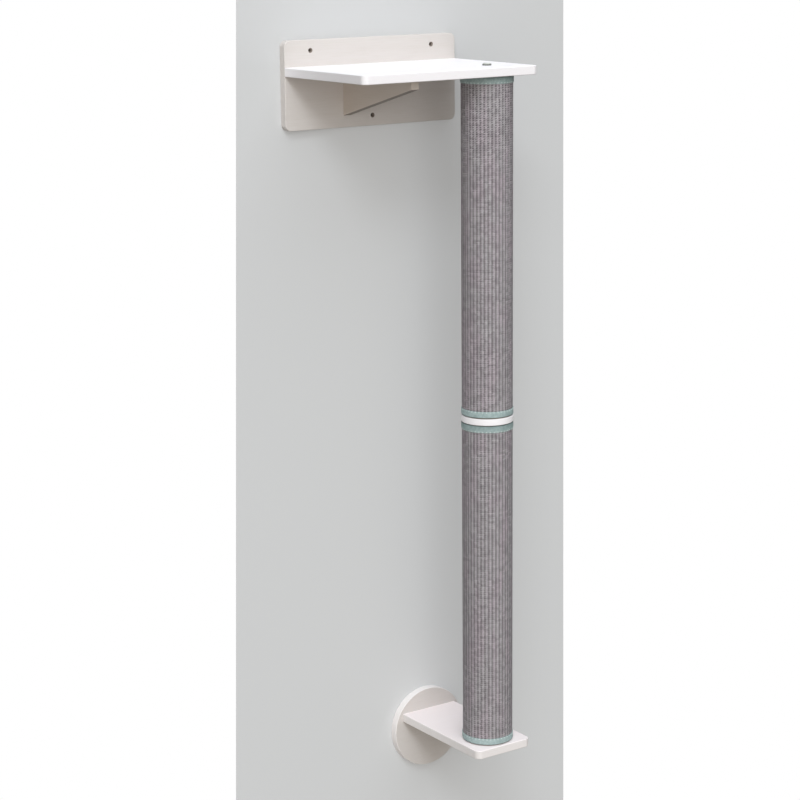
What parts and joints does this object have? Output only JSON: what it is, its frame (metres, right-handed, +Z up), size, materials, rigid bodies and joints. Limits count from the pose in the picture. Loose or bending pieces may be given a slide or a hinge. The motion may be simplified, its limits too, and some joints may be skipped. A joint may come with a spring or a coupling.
{
  "type": "cat climbing wall",
  "caption": "Wall-hung climbing post for cats: a shelf on a wall plate, a post in fabric sleeves joined end to end, and an arm on a round wall disc at its foot.",
  "frame": {"origin": "middle of the top wall plate's back face, on the wall", "axes": "+X along the wall to the right seen from the room, +Y into the wall, +Z up along the post"},
  "size_m": [0.405, 0.285, 1.519],
  "materials": {
    "white_pine": "white stain, fine grain along the board, satin",
    "raw_wood": "sawn, untreated",
    "beech": "turned, untreated",
    "cardboard": "wound grey-brown board",
    "ribbed_fabric": "ribbed grey weave, matte",
    "binding_tape": "grey-green woven tape, matte",
    "zinc_steel": "zinc plated"
  },
  "bodies": {
    "root": {"wall_plate": "white_pine", "shelf_board": "white_pine", "shelf_brace": "white_pine", "joint_disc": "white_pine", "arm_board": "white_pine", "wall_disc": "white_pine", "upper_top_plug": "raw_wood", "upper_bottom_plug": "raw_wood", "lower_top_plug": "raw_wood", "lower_bottom_plug": "raw_wood", "shelf_dowels": "beech", "brace_back_dowel": "beech", "brace_top_dowels": "beech", "arm_dowels": "beech", "upper_tube": "cardboard", "lower_tube": "cardboard", "upper_sleeve": "ribbed_fabric", "lower_sleeve": "ribbed_fabric", "upper_top_binding": "binding_tape", "upper_bottom_binding": "binding_tape", "lower_top_binding": "binding_tape", "lower_bottom_binding": "binding_tape", "top_bolt": "zinc_steel", "bottom_bolt": "zinc_steel", "joint_stud": "zinc_steel", "shelf_screws": "zinc_steel", "brace_screws": "zinc_steel", "arm_screws": "zinc_steel", "hanger_plate": "zinc_steel", "hanger_screws": "zinc_steel", "upper_top_insert": "zinc_steel", "upper_bottom_insert": "zinc_steel", "lower_top_insert": "zinc_steel", "lower_bottom_insert": "zinc_steel"}
  },
  "joints": []
}
